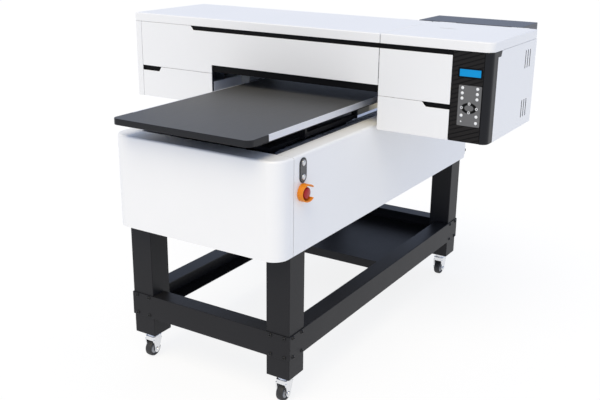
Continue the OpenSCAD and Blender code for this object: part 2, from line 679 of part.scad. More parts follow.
stand_legs();
stand_beams();
stand_bolts();
shelf_tray();
caster_fork_fl();
caster_fork_fr();
caster_fork_rl();
caster_fork_rr();
caster_wheel_fl();
caster_wheel_fr();
caster_wheel_rl();
caster_wheel_rr();
base_chassis();
linear_rails();
base_front_cover();
base_left_cover();
base_right_cover();
base_rear_cover();
rear_knobs();
button_plate();
power_button();
light_button();
estop_guard();
estop_mushroom();
electronics_box();
drive_motors();
bed_pulley();
bed_idler();
bed_belt();
drag_chain();
bed_carriage();
platen_frame();
platen();
platen_strips();
gantry_uprights();
gantry_beam();
print_carriage();
print_heads();
carriage_belt();
carriage_pulley();
carriage_idler();
capping_station();
ink_tanks();
head_pans();
head_rear_panel();
left_side_cover();
right_side_cover();
front_cover();
top_cover();
right_lid();
left_door();
right_door();
right_panel();
control_panel();
lcd();
keypad();
corner_column();
rear_cabinet();
hinge_pins();
recess_liners();
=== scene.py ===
import math

import bmesh
import bpy
from mathutils import Matrix, Vector


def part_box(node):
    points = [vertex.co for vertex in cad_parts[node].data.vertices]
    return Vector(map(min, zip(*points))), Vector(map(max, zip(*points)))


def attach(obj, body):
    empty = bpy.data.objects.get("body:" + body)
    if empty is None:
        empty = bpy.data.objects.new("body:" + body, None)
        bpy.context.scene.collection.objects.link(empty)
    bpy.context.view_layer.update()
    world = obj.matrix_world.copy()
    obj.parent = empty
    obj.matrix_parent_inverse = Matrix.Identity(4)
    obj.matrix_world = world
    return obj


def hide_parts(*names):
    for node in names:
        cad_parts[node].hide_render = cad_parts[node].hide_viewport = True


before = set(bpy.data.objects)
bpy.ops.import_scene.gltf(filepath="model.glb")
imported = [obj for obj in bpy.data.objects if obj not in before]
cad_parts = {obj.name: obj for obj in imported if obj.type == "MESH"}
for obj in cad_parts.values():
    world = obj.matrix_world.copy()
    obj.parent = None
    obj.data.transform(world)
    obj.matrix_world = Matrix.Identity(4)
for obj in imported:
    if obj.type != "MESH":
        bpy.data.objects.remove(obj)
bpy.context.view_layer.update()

bl_info = {
    "name": "Flatbed UV Printer",
    "version": (1, 0, 0),
    "blender": (4, 5, 0),
    "location": "3D View > Sidebar > Printer",
    "description": "Builds the covers, bed, stand and fittings of a flatbed UV printer",
    "category": "Object",
}

MM = 0.001
SEAM = 0.8 * MM  # how far each cover stands back from the seam between them
CHAIN_GAP = 0.38  # the share of a chain link's length that is gap
PANEL_FRONT = -126 * MM
POCKET_Z = 1050 * MM  # bottom of the finger pocket below the right lid
POCKET_REAR = -44 * MM
DOOR_HINGE = {"barrel": 6.8 * MM, "axis_y": -120.5 * MM, "axis_z": 791 * MM, "arm_y": -125 * MM}
SKY = (0.64, 0.74, 0.98, 1)
SKY_STRENGTH = 0.86
SUN = (1.0, 0.86, 0.56)
SUN_STRENGTH = 1.95


# ---------------------------------------------------------------- sizes and colours

def length(name, description, default):
    return bpy.props.FloatProperty(name=name, description=description, default=default, min=0,
                                   subtype="DISTANCE", unit="LENGTH", precision=4)


def colour(name, description, default):
    return bpy.props.FloatVectorProperty(name=name, description=description, default=default,
                                         subtype="COLOR", size=3, min=0, max=1)


def turn(name, description, default):
    return bpy.props.FloatProperty(name=name, description=description, default=default,
                                   subtype="ANGLE", unit="ROTATION")


class PrinterSizes(bpy.types.PropertyGroup):
    """Sizes that the frame leaves to the finish of each piece"""
    sheet: length("Sheet", "Thickness of the cover sheets", 3 * MM)
    base_corner: length("Base corner", "Radius of the base's front corners", 50 * MM)
    base_edge: length("Base edge", "Radius of the base's top edges", 7 * MM)
    lid_corner: length("Lid corner", "Radius of the right lid's front corner", 28 * MM)
    lid_edge: length("Lid edge", "Radius of the hinged covers' top edges", 5 * MM)
    panel_edge: length("Panel edge", "Softening of flat panels' edges", 1.2 * MM)
    platen_corner: length("Platen corner", "Radius of the platen's corners", 22 * MM)
    platen_edge: length("Platen edge", "Softening of the platen's rim", 1.5 * MM)
    tube_edge: length("Tube edge", "Corner radius of the stand's tubes", 2.5 * MM)
    rib_pitch: length("Rib pitch", "Distance between the control panel's slanted ribs", 14 * MM)
    link_pitch: length("Link pitch", "Length of one drag chain link", 10 * MM)


class PrinterColours(bpy.types.PropertyGroup):
    """Colours of the printer's finishes"""
    cover: colour("Cover", "White powder coat", (0.83, 0.832, 0.838))
    stand: colour("Stand", "Black powder coat", (0.011, 0.011, 0.013))
    platen: colour("Platen", "Platen top", (0.062, 0.062, 0.061))
    platen_rim: colour("Platen rim", "Platen edge", (0.009, 0.0095, 0.012))
    strip: colour("Strip", "Platen side strips", (0.72, 0.735, 0.78))
    guard: colour("Guard", "Emergency stop guard", (0.76, 0.235, 0.009))
    mushroom: colour("Mushroom", "Emergency stop head", (0.36, 0.006, 0.008))
    display: colour("Display", "Lit display", (0.003, 0.27, 0.62))
    keypad: colour("Keypad", "Keypad overlay", (0.118, 0.118, 0.120))
    cabinet: colour("Cabinet", "Rear cabinet", (0.06, 0.065, 0.08))
    pan: colour("Pan", "Plain sheet inside the head", (0.42, 0.45, 0.52))


class StudioSettings(bpy.types.PropertyGroup):
    """Camera and light"""
    camera_place: bpy.props.FloatVectorProperty(
        name="Camera place", description="Where the camera stands", size=3,
        default=(1.564, -2.5848, 1.4452), subtype="TRANSLATION", unit="LENGTH")
    camera_yaw: turn("Yaw", "Turn to the left of straight ahead", 0.556)
    camera_pitch: turn("Pitch", "Tilt, downwards when negative", -0.318)
    camera_roll: turn("Roll", "Roll about the line of sight", 0.011)
    lens: bpy.props.FloatProperty(
        name="Lens", description="Focal length on a 36 mm sensor", default=51.71,
        subtype="DISTANCE_CAMERA", unit="CAMERA")
    floor_size: length("Floor", "Width of the floor", 60.0)


def sizes():
    return bpy.context.scene.printer_sizes


def colours():
    return bpy.context.scene.printer_colours


# ---------------------------------------------------------------- shader building

class Wire:
    """A shader value whose arithmetic adds Math nodes"""

    def __init__(self, finish, socket):
        self.finish = finish
        self.socket = socket

    def _math(self, operation, *values):
        return self.finish.node("ShaderNodeMath", {"operation": operation},
                                **{str(i): v for i, v in enumerate(values)})

    def __add__(self, other): return self._math("ADD", self, other)
    def __radd__(self, other): return self._math("ADD", other, self)
    def __sub__(self, other): return self._math("SUBTRACT", self, other)
    def __rsub__(self, other): return self._math("SUBTRACT", other, self)
    def __mul__(self, other): return self._math("MULTIPLY", self, other)
    def __rmul__(self, other): return self._math("MULTIPLY", other, self)
    def __truediv__(self, other): return self._math("DIVIDE", self, other)
    def __gt__(self, other): return self._math("GREATER_THAN", self, other)
    def fraction(self): return self._math("FRACT", self)
    def size(self): return self._math("ABSOLUTE", self)
    def clamped(self): return self._math("MINIMUM", self._math("MAXIMUM", self, 0.0), 1.0)


class Finish:
    """One procedural material round a Principled shader"""

    def __init__(self, name, base, roughness, **constants):
        self.material = bpy.data.materials.new(name)
        self.material.use_nodes = True
        self.tree = self.material.node_tree
        self.shader = self.tree.nodes["Principled BSDF"]
        self.base = (*base, 1.0)
        self.set("Base Color", self.base)
        self.set("Roughness", roughness)
        for key, value in constants.items():
            self.set(key.replace("_", " ").title().replace("Ior", "IOR"), value)
        place = self.tree.nodes.new("ShaderNodeTexCoord")
        self.place = Wire(self, place.outputs["Object"])

    def node(self, kind, settings=None, output=0, **inputs):
        """Adds a node: its settings first, then the values or links of its sockets"""
        made = self.tree.nodes.new(kind)
        for key, value in (settings or {}).items():
            setattr(made, key, value)
        for key, value in inputs.items():
            socket = made.inputs[int(key)] if key.isdigit() else made.inputs[key.replace("_", " ")]
            if isinstance(value, Wire):
                self.tree.links.new(value.socket, socket)
            else:
                socket.default_value = value
        return Wire(self, made.outputs[output])

    def set(self, name, value):
        socket = self.shader.inputs[name]
        if isinstance(value, Wire):
            self.tree.links.new(value.socket, socket)
        else:
            socket.default_value = value
        return self

    def stretched(self, scale):
        """The object's coordinates, scaled by different amounts along X, Y and Z"""
        return self.node("ShaderNodeMapping", Vector=self.place, Scale=scale)

    def noise(self, scale, detail=2.0, roughness=0.5, along=None):
        return self.node("ShaderNodeTexNoise", {"noise_dimensions": "3D"},
                         Vector=self.stretched(along) if along else self.place,
                         Scale=scale, Detail=detail, Roughness=roughness)

    def axis(self, name):
        """One coordinate of the surface, in metres"""
        return self.node("ShaderNodeSeparateXYZ", output="XYZ".index(name), Vector=self.place)

    def mixed(self, factor, first, second):
        """Blend of two colours by a factor"""
        return self.node("ShaderNodeMix", {"data_type": "RGBA", "clamp_factor": True}, output=2,
                         **{"0": factor, "6": first, "7": second})

    def shade(self, factor, low, high):
        """Varies the base colour between two multiples of itself"""
        pale = tuple(min(1, c * high) for c in self.base[:3]) + (1.0,)
        deep = tuple(c * low for c in self.base[:3]) + (1.0,)
        return self.set("Base Color", self.mixed(factor, deep, pale))

    def relief(self, height, strength, depth):
        bump = self.node("ShaderNodeBump", Height=height, Strength=strength, Distance=depth)
        return self.set("Normal", bump)


def powder_coat(name, base, roughness):
    """Satin paint with a fine orange-peel surface, a little haze and dust low down"""
    made = Finish(name, base, roughness)
    peel = made.noise(1400.0, 3.0, 0.55)
    haze = made.noise(6.0, 3.0, 0.6)
    dust = (1.0 - made.axis("Z") / 0.35).clamped()
    made.shade((haze * 0.5 + peel * 0.2 + dust * 0.25).clamped(), 0.97, 1.03)
    made.set("Roughness", roughness - 0.05 + haze * 0.07 + peel * 0.04 + dust * 0.05)
    made.relief(peel, 0.35, 0.00008)
    return made.material


def textured_black(name, base, roughness):
    """Black powder coat with a visible grain that catches the light along its edges"""
    made = Finish(name, base, roughness, specular_ior_level=0.2)
    grain = made.noise(900.0, 4.0, 0.65)
    wide = made.noise(9.0, 2.0, 0.5)
    dust = (1.0 - made.axis("Z") / 0.3).clamped()
    made.shade((grain * 0.6 + wide * 0.3 + dust * 0.3).clamped(), 0.8, 1.35)
    made.set("Roughness", roughness - 0.06 + grain * 0.08 + wide * 0.06)
    made.relief(grain, 0.5, 0.00012)
    return made.material


def brushed(name, base, roughness, along, metallic=1.0):
    """Metal with fine lines drawn along one direction"""
    made = Finish(name, base, roughness, metallic=metallic)
    lines = made.noise(60.0, 4.0, 0.7, along=along)
    smear = made.noise(14.0, 2.0, 0.5)
    made.shade((lines * 0.7 + smear * 0.3).clamped(), 0.88, 1.08)
    made.set("Roughness", roughness - 0.08 + lines * 0.12 + smear * 0.05)
    made.relief(lines, 0.15, 0.00005)
    return made.material


def moulded(name, base, roughness, grain=700.0, depth=0.00006, **constants):
    """Moulded plastic with a faint spark-eroded grain"""
    made = Finish(name, base, roughness, **constants)
    grains = made.noise(grain, 3.0, 0.6)
    cloud = made.noise(18.0, 2.0, 0.5)
    made.shade((grains * 0.5 + cloud * 0.5).clamped(), 0.9, 1.1)
    made.set("Roughness", roughness - 0.05 + grains * 0.06 + cloud * 0.06)
    made.relief(grains, 0.3, depth)
    return made.material


def rubber(name, base, roughness=0.62):
    made = Finish(name, base, roughness)
    grains = made.noise(350.0, 4.0, 0.7)
    scuff = made.noise(45.0, 3.0, 0.6)
    made.shade((grains * 0.4 + scuff * 0.6).clamped(), 0.75, 1.5)
    made.set("Roughness", roughness - 0.1 + scuff * 0.2)
    made.relief(grains, 0.4, 0.0002)
    return made.material


def linked(name, base, pitch):
    """Chain plastic with painted shade in the gap between one link and the next along Y"""
    made = Finish(name, base, 0.42)
    link = (made.axis("Y") / pitch).fraction() > CHAIN_GAP
    grains = made.noise(700.0, 3.0, 0.6)
    # painted shade: the gaps between links are darkened to about a tenth of the plastic's colour
    made.shade((link * 0.85 + grains * 0.15).clamped(), 0.12, 1.5)
    made.set("Roughness", 0.38 + grains * 0.08)
    made.relief(grains, 0.3, 0.00006)
    return made.material


def platen_coat(name, base):
    """Hard matt coating with a fine even speckle and faint marks where sheets have slid"""
    made = Finish(name, base, 0.5)
    speckle = made.noise(1600.0, 2.0, 0.6)
    slide = made.noise(22.0, 4.0, 0.65, along=(6.0, 0.5, 1.0))
    cloud = made.noise(3.0, 3.0, 0.6)
    made.shade((speckle * 0.45 + slide * 0.25 + cloud * 0.3).clamped(), 0.84, 1.16)
    made.set("Roughness", 0.40 + speckle * 0.06 + slide * 0.08 + cloud * 0.06)
    made.relief(speckle, 0.4, 0.00006)
    return made.material


def woven_gloss(name, base):
    """Black gloss with the small over-and-under squares of a woven sheet"""
    made = Finish(name, base, 0.34, specular_ior_level=0.2, coat_weight=0.06, coat_roughness=0.1)
    across, up = made.axis("X"), made.axis("Z")
    slant = ((across + up) / 0.0032).fraction()
    counter = ((across - up) / 0.0032).fraction()
    weave = (slant - 0.5).size() * 2.0 * ((counter > 0.5) * 0.7 + 0.3)
    made.shade(weave.clamped(), 0.55, 1.9)
    made.set("Roughness", 0.3 + weave * 0.16)
    made.relief(weave, 0.35, 0.0002)
    return made.material


def lit_display(name, base):
    """Blue character display: a lit field behind fine glass, with faint cell rows"""
    unlit = tuple(c * 0.4 for c in base)
    made = Finish(name, unlit, 0.2, specular_ior_level=0.12, emission_strength=0.6)
    across, up = made.axis("X"), made.axis("Z")
    cells = ((across / 0.0035).fraction() > 0.12) * ((up / 0.0075).fraction() > 0.12)
    glow = made.noise(30.0, 1.0, 0.5)
    level = (cells * 0.15 + glow * 0.5 + 0.3).clamped()
    made.shade(level, 0.9, 1.12)
    deep = tuple(c * 0.9 for c in base) + (1.0,)
    pale = tuple(min(1, c * 1.15) for c in base) + (1.0,)
    made.set("Emission Color", made.mixed(level, deep, pale))
    made.set("Roughness", 0.18 + glow * 0.06)
    return made.material


def floor_paper(name):
    made = Finish(name, (0.15, 0.15, 0.152), 0.9, specular_ior_level=0.0, emission_strength=0.85)
    fibre = made.noise(3.0, 3.0, 0.6)
    made.shade(fibre, 0.97, 1.0)
    made.set("Emission Color", (1.0, 1.0, 1.0, 1.0))
    return made.material


def make_finishes():
    """Every finish of the machine, by name"""
    c = colours()
    return {
        "cover": powder_coat("cover white", c.cover, 0.36),
        "stand": textured_black("stand black", c.stand, 0.42),
        "bolt": moulded("bolt black", (0.008, 0.008, 0.009), 0.35, specular_ior_level=0.3),
        "platen": platen_coat("platen matt", c.platen),
        "platen_rim": moulded("platen rim", c.platen_rim, 0.4, specular_ior_level=0.25),
        "strip": brushed("strip satin", c.strip, 0.38, (30.0, 0.6, 30.0), 0.35),
        "rail": brushed("ground rail", (0.55, 0.56, 0.58), 0.28, (12.0, 0.5, 12.0)),
        "beam_rail": brushed("ground cross rail", (0.55, 0.56, 0.58), 0.28, (0.5, 12.0, 12.0)),
        "machine_black": moulded("machine black", (0.010, 0.010, 0.012), 0.4, 900.0,
                                 specular_ior_level=0.25),
        "anodised": brushed("black anodised", (0.03, 0.031, 0.035), 0.4, (10.0, 0.6, 10.0), 0.6),
        "chassis": powder_coat("chassis grey", (0.2, 0.21, 0.22), 0.5),
        "pan": powder_coat("inner pan", c.pan, 0.45),
        "guard": moulded("guard yellow", c.guard, 0.36, specular_ior_level=0.35),
        "mushroom": moulded("mushroom red", c.mushroom, 0.32, specular_ior_level=0.35,
                            coat_weight=0.08),
        "station": moulded("station plate", (0.05, 0.055, 0.065), 0.32),
        "station_face": moulded("station face", (0.096, 0.096, 0.098), 0.4, specular_ior_level=0.3),
        "button": brushed("button cap", (0.66, 0.67, 0.69), 0.3, (40.0, 40.0, 2.0)),
        "display": lit_display("display blue", c.display),
        "woven": woven_gloss("panel weave", (0.0065, 0.0052, 0.0050)),
        "column": moulded("column black", (0.006, 0.0065, 0.009), 0.38, 500.0,
                          specular_ior_level=0.25),
        "keypad": moulded("keypad overlay", c.keypad, 0.42, 1200.0),
        "dome": moulded("key dome", (0.78, 0.79, 0.80), 0.3),
        "key_mark": moulded("key ring black", (0.003, 0.003, 0.003), 0.5, specular_ior_level=0.1),
        "cabinet": powder_coat("cabinet grey", c.cabinet, 0.42),
        "chrome": brushed("bright plate", (0.78, 0.79, 0.81), 0.16, (3.0, 3.0, 1.0)),
        "hub": moulded("wheel core", (0.35, 0.36, 0.38), 0.4),
        "tyre": rubber("tyre black", (0.02, 0.02, 0.021)),
        "belt": rubber("belt black", (0.012, 0.012, 0.013), 0.7),
        "chain": linked("chain plastic", (0.105, 0.114, 0.142), sizes().link_pitch),
        # near-black painted shade for slot walls, the blocks behind the slots, the recess liners
        # and the panel between the ribs
        "recess": moulded("painted recess shade", (0.003, 0.003, 0.0035), 0.5, specular_ior_level=0.1),
        "cast": brushed("head metal", (0.36, 0.38, 0.41), 0.38, (6.0, 6.0, 1.0)),
        "tank": moulded("tank milky", (0.66, 0.68, 0.71), 0.35),
    }


# ---------------------------------------------------------------- modelling helpers

TURN = {"X": (0, math.pi / 2, 0), "Y": (math.pi / 2, 0, 0), "Z": (0, 0, 0)}
NEAR = 1e-5


def choose(*chosen):
    """Leaves only the given objects selected, the first of them active"""
    for other in bpy.context.selected_objects:
        other.select_set(False)
    for each in chosen:
        each.select_set(True)
    if chosen:
        bpy.context.view_layer.objects.active = chosen[0]


def settle(name):
    """Names the new primitive and puts its place in its mesh"""
    made = bpy.context.object
    made.name = made.data.name = name
    bpy.ops.object.transform_apply(location=True, rotation=True, scale=True)
    return made


def block(name, lo, hi):
    choose()
    lo, hi = Vector(lo), Vector(hi)
    bpy.ops.mesh.primitive_cube_add(size=1, location=(lo + hi) / 2, scale=hi - lo)
    return settle(name)


def rod(name, axis, centre, radius, depth, sides):
    choose()
    bpy.ops.mesh.primitive_cylinder_add(vertices=sides, radius=radius, depth=depth,
                                        location=centre, rotation=TURN[axis])
    return settle(name)


class Shaping:
    """Edit mode on one piece, with nothing selected to begin with"""

    def __init__(self, piece, kind="FACE"):
        self.piece, self.kind = piece, kind

    def __enter__(self):
        choose(self.piece)
        bpy.ops.object.mode_set(mode="EDIT")
        bpy.ops.mesh.select_mode(type=self.kind)
        bpy.ops.mesh.select_all(action="DESELECT")
        return self

    def pick(self, test):
        """Selects the faces, edges or vertices that pass a test"""
        mesh = bmesh.from_edit_mesh(self.piece.data)
        parts = {"FACE": mesh.faces, "EDGE": mesh.edges, "VERT": mesh.verts}[self.kind]
        for part in parts:
            part.select_set(False)
        for part in parts:
            if test(part):
                part.select_set(True)
        mesh.select_flush_mode()
        bmesh.update_edit_mesh(self.piece.data)
        return self

    def __exit__(self, *problem):
        bpy.ops.object.mode_set(mode="OBJECT")


def everything():
    bpy.ops.mesh.select_all(action="SELECT")


def on(axis, value):
    """A test for edges that lie at one place along an axis"""
    i = "XYZ".index(axis)
    return lambda edge: all(abs(v.co[i] - value) < NEAR for v in edge.verts)


def runs(axis):
    """A test for edges that run along an axis"""
    i = "XYZ".index(axis)
    return lambda edge: abs((edge.verts[0].co - edge.verts[1].co).normalized()[i]) > 0.999


def both(*tests):
    return lambda part: all(test(part) for test in tests)


def either(*tests):
    return lambda part: any(test(part) for test in tests)


def faces(axis, sign):
    """A test for faces whose normal points along an axis"""
    i = "XYZ".index(axis)
    return lambda face: face.normal[i] * sign > 0.9


def round_edges(piece, test, radius, segments=4):
    with Shaping(piece, "EDGE") as shaping:
        shaping.pick(test)
        bpy.ops.mesh.bevel(offset=radius, offset_type="OFFSET", segments=segments, affect="EDGES")


def open_faces(piece, test):
    with Shaping(piece) as shaping:
        shaping.pick(test)
        bpy.ops.mesh.delete(type="FACE")


def sink(piece, test, border, slope, depth):
    """Sinks a face inside a border, with a short slope between the two"""
    with Shaping(piece) as shaping:
        shaping.pick(test)
        bpy.ops.mesh.inset(thickness=border, depth=0)
        bpy.ops.mesh.inset(thickness=slope, depth=-depth)


def move_corners(piece, test, offset):
    with Shaping(piece, "VERT") as shaping:
        shaping.pick(test)
        bpy.ops.transform.translate(value=offset)


def apply(piece, kind, **settings):
    """Adds one modifier and applies it"""
    choose(piece)
    added = piece.modifiers.new(kind.title(), kind)
    for key, value in settings.items():
        setattr(added, key, value)
    bpy.ops.object.modifier_apply(modifier=added.name)
    return piece


def thicken(piece, thickness):
    return apply(piece, "SOLIDIFY", thickness=thickness, offset=-1, use_even_offset=True)


def soften(piece, width, segments=2, angle=35):
    return apply(piece, "BEVEL", width=width, segments=segments, limit_method="ANGLE",
                 angle_limit=math.radians(angle))


def cut(piece, *tools):
    """Takes the tools' shapes out of a piece, and removes the tools"""
    for tool in tools:
        apply(piece, "BOOLEAN", object=tool, operation="DIFFERENCE", solver="EXACT")
        bpy.data.objects.remove(tool, do_unlink=True)
    return piece


def drill(piece, x, radius, sides, *places):
    """Cuts a round hole along X at each place"""
    return cut(piece, *[rod("hole", "X", (x, at.y, at.z), radius, 20 * MM, sides)
                        for at in places])


def keep_inside(piece, tool):
    apply(piece, "BOOLEAN", object=tool, operation="INTERSECT", solver="EXACT")
    bpy.data.objects.remove(tool, do_unlink=True)
    return piece


def joined(name, pieces):
    """Joins pieces into one object, each still its own closed part"""
    choose(*pieces)
    bpy.ops.object.join()
    made = bpy.context.object
    made.name = made.data.name = name
    return made


def copied(piece, name, offset=(0, 0, 0), mirrored=False):
    """A copy with its own mesh, moved, or mirrored across the machine's middle plane"""
    made = piece.copy()
    made.data = piece.data.copy()
    made.name = made.data.name = name
    bpy.context.scene.collection.objects.link(made)
    made.data.transform(Matrix.Translation(offset))
    if mirrored:
        made.data.transform(Matrix.Scale(-1, 4, (1, 0, 0)))
        made.data.flip_normals()
    return made


def lathe(name, outline, centre, axis, steps=40):
    """Spins an outline of (radius, height) pairs in millimetres round an axis through a centre"""
    choose()
    i = "XYZ".index(axis)
    out = Vector((0, 0, 0))
    out[(i + 1) % 3] = 1
    up = Vector((0, 0, 0))
    up[i] = 1
    bpy.ops.mesh.primitive_plane_add(size=0.01, location=centre)
    made = settle(name)
    with Shaping(made, "VERT"):
        everything()
        bpy.ops.mesh.merge(type="CENTER")
        here = Vector((0, 0, 0))
        for n, (radius, height) in enumerate(outline):
            there = out * (radius * MM) + up * (height * MM)
            if n == 0:
                bpy.ops.transform.translate(value=there - here)
            else:
                bpy.ops.mesh.extrude_vertices_move(TRANSFORM_OT_translate={"value": there - here})
            here = there
        everything()
        bpy.ops.mesh.spin(steps=steps, angle=2 * math.pi, center=centre, axis=up)
        everything()
        bpy.ops.mesh.remove_doubles(threshold=1e-6)
        bpy.ops.mesh.dissolve_degenerate(threshold=1e-7)
        everything()
        bpy.ops.mesh.normals_make_consistent(inside=False)
    return made


def reflected(outline):
    """The other half of an outline that is the same on both sides of height 0"""
    return [(radius, -height) for radius, height in reversed(outline)]


def smooth(piece):
    """Smooth shading across soft edges, with the broad faces kept flat"""
    choose(piece)
    bpy.ops.object.shade_smooth_by_angle(angle=math.radians(40))
    return apply(piece, "WEIGHTED_NORMAL", keep_sharp=True, weight=90)


def painted(piece, finish):
    piece.data.materials.clear()
    piece.data.materials.append(FINISHES[finish])
    return piece


def dress(piece, body, finish, slot, *nodes):
    """Gives a finished piece its shading, finish, body and the nodes it stands for; the slot is not
    used
    """
    smooth(piece)
    if finish:
        painted(piece, finish)
    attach(piece, body)
    if nodes:
        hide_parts(*nodes)
    return piece


def dress_cover(piece, node, body="base"):
    """Dresses a white sheet cover"""
    return dress(piece, body, "cover", "white_cover", node)


def paint_faces(piece, finishes, rule):
    """Gives each face one of several finishes by a rule on the face"""
    piece.data.materials.clear()
    for name in finishes:
        piece.data.materials.append(FINISHES[name])
    for face in piece.data.polygons:
        face.material_index = rule(face)


def corners(node):
    lo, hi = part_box(node)
    return Vector(lo), Vector(hi)


def middle(node):
    lo, hi = corners(node)
    return (lo + hi) / 2


def softened_copy(name, node, width, segments=2):
    """A merged copy of one of the frame's parts with its edges softened"""
    made = copied(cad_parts[node], name)
    made.parent = None
    for key in list(made.keys()):
        del made[key]
    made.hide_render = made.hide_viewport = False
    with Shaping(made):
        everything()
        bpy.ops.mesh.remove_doubles(threshold=1e-6)
        bpy.ops.mesh.dissolve_limited(angle_limit=math.radians(1))
    return soften(made, width, segments)


def row(piece, name, offsets):
    """The piece and its copies at each offset, joined"""
    others = [copied(piece, name + ".copy", offset) for offset in offsets]
    return joined(name, [piece] + others)


FINISHES = {}

CARRIED = {
    "chassis": ["base_chassis", "gantry_uprights"],
    "rail": ["linear_rails"],
    "pan": ["head_pans"],
    "cover": ["head_rear_panel"],
    "machine_black": ["drive_motors", "platen_frame", "capping_station"],
    "anodised": ["bed_carriage"],
    "station": ["electronics_box"],
    "cast": ["bed_pulley", "bed_idler", "carriage_pulley", "carriage_idler", "hinge_pins"],
    "belt": ["bed_belt", "carriage_belt"],
    "tank": ["ink_tanks"],
    # the recess liners take the near-black painted shade
    "recess": ["recess_liners"],
}


# ---------------------------------------------------------------- operators

class PRINTER_OT_finishes(bpy.types.Operator):
    """Makes every finish and gives the frame's own parts theirs"""
    bl_idname = "printer.finishes"
    bl_label = "Finishes"

    def execute(self, context):
        FINISHES.update(make_finishes())
        for finish, nodes in CARRIED.items():
            for node in nodes:
                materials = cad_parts[node].data.materials
                for i in range(max(1, len(materials))):
                    if i < len(materials):
                        materials[i] = FINISHES[finish]
                    else:
                        materials.append(FINISHES[finish])
        return {"FINISHED"}


class PRINTER_OT_base_covers(bpy.types.Operator):
    """Front, side and rear sheet covers of the base box"""
    bl_idname = "printer.base_covers"
    bl_label = "Base covers"

    def execute(self, context):
        size = sizes()
        lo, hi = corners("base_front_cover")
        front = block("base_front", lo, hi)
        open_faces(front, either(faces("Y", 1), faces("Z", -1)))
        round_edges(front, both(runs("Z"), on("Y", lo.y)), size.base_corner, 14)
        round_edges(front, lambda e: on("Z", hi.z)(e) and not on("Y", hi.y)(e), size.base_edge, 5)
        move_corners(front, lambda v: abs(v.co.y - hi.y) < NEAR, (0, -SEAM, 0))
        thicken(front, size.sheet)
        dress_cover(front, "base_front_cover")

        lo, hi = corners("base_right_cover")
        right = block("base_side_right", lo, hi)
        open_faces(right, either(faces("X", -1), faces("Y", 1), faces("Y", -1), faces("Z", -1)))
        round_edges(right, both(on("X", hi.x), on("Z", hi.z)), size.base_edge, 5)
        with Shaping(right, "EDGE") as shaping:
            shaping.pick(both(on("X", lo.x), on("Z", hi.z)))
            bpy.ops.mesh.extrude_edges_move(TRANSFORM_OT_translate={"value": (0, 0, -23.5 * MM)})
        move_corners(right, lambda v: abs(v.co.y - lo.y) < NEAR, (0, SEAM, 0))
        thicken(right, size.sheet)
        post_lo, post_hi = corners("gantry_uprights")
        cut(right, block("post gap", (266 * MM, post_lo.y - 2 * MM, hi.z - 10 * MM),
                         (306 * MM, post_hi.y + 2 * MM, hi.z + 10 * MM)))
        left = copied(right, "base_side_left", mirrored=True)
        drill(right, hi.x, 9.6 * MM, 32, middle("power_button"), middle("light_button"),
              middle("estop_mushroom"))
        dress_cover(right, "base_right_cover")
        dress_cover(left, "base_left_cover")

        lo, hi = corners("base_rear_cover")
        rear = block("base_rear", (lo.x, hi.y - 14 * MM, lo.z), hi)
        open_faces(rear, faces("Y", -1))
        round_edges(rear, both(runs("Z"), on("Y", hi.y)), 8 * MM, 4)
        round_edges(rear, lambda e: on("Z", hi.z)(e) and not on("Y", hi.y - 14 * MM)(e), 5 * MM, 4)
        sink(rear, lambda f: f.normal.y > 0.99 and f.calc_area() > 0.05, 38 * MM, 1.5 * MM,
             1.5 * MM)
        thicken(rear, size.sheet)
        ledge = soften(block("ledge", (-255 * MM, lo.y, hi.z - size.sheet),
                            (255 * MM, hi.y - 13 * MM, hi.z)), 0.8 * MM)
        dress_cover(joined("base_rear", [rear, ledge]), "base_rear_cover")
        return {"FINISHED"}


class PRINTER_OT_rear_knobs(bpy.types.Operator):
    """Two fluted thumb knobs low on the rear cover"""
    bl_idname = "printer.rear_knobs"
    bl_label = "Rear knobs"

    def execute(self, context):
        lo, hi = corners("rear_knobs")
        centre = Vector((hi.x - 9 * MM, lo.y, (lo.z + hi.z) / 2))
        knob = lathe("rear_knobs", [(0, 0), (5, 0), (5, 1.6), (8.4, 2.2), (8.4, 6.6), (7.4, 7.6),
                                    (5, 7.2), (0, 7.0)], centre, "Y", 36)
        with Shaping(knob) as shaping:
            shaping.pick(lambda f: (
                abs(f.normal.y) < 0.3 and f.calc_center_median().y > lo.y + 3 * MM
                and int(math.degrees(math.atan2(f.normal.x, f.normal.z)) // 10) % 2 == 0))
            bpy.ops.mesh.extrude_region_shrink_fatten(
                TRANSFORM_OT_shrink_fatten={"value": 0.5 * MM})
        other = copied(knob, "rear_knobs.left", mirrored=True)
        dress(joined("rear_knobs_pair", [knob, other]), "base", "machine_black", "knob",
              "rear_knobs")
        return {"FINISHED"}


class PRINTER_OT_push_buttons(bpy.types.Operator):
    """The stadium-shaped plate and its two domed metal push buttons"""
    bl_idname = "printer.push_buttons"
    bl_label = "Push buttons"

    def execute(self, context):
        lo, hi = corners("button_plate")
        power, light = middle("power_button"), middle("light_button")
        plates = []
        for name, front, rim, finish in (("button_rim", hi.x - 0.4 * MM, 0, "machine_black"),
                                         ("button_face", hi.x, 3.2 * MM, "station_face")):
            plate = block(name, (lo.x, lo.y + rim, lo.z + rim), (front, hi.y - rim, hi.z - rim))
            round_edges(plate, runs("X"), (hi.y - lo.y) / 2 - rim - 0.05 * MM, 10)
            soften(plate, 0.25 * MM)
            drill(plate, lo.x, 9.2 * MM, 40, power, light)
            plates.append(painted(plate, finish))
        dress(joined("button_station", plates), "base", None, "button_plate", "button_plate")

        lo, hi = corners("power_button")
        centre = Vector((lo.x, power.y, power.z))
        cap = lathe("power_cap", [(0, 0), (9, 0), (9, 15.6), (8.5, 16.6), (7.4, 17.0), (7.0, 16.2),
                                  (6.6, 16.3), (6.3, 17.3), (4, 18.3), (0, 18.7)], centre, "X", 40)
        other = copied(cap, "light_cap", light - power)
        dress(cap, "power_button", "button", "button_metal", "power_button")
        dress(other, "light_button", "button", "button_metal", "light_button")
        return {"FINISHED"}


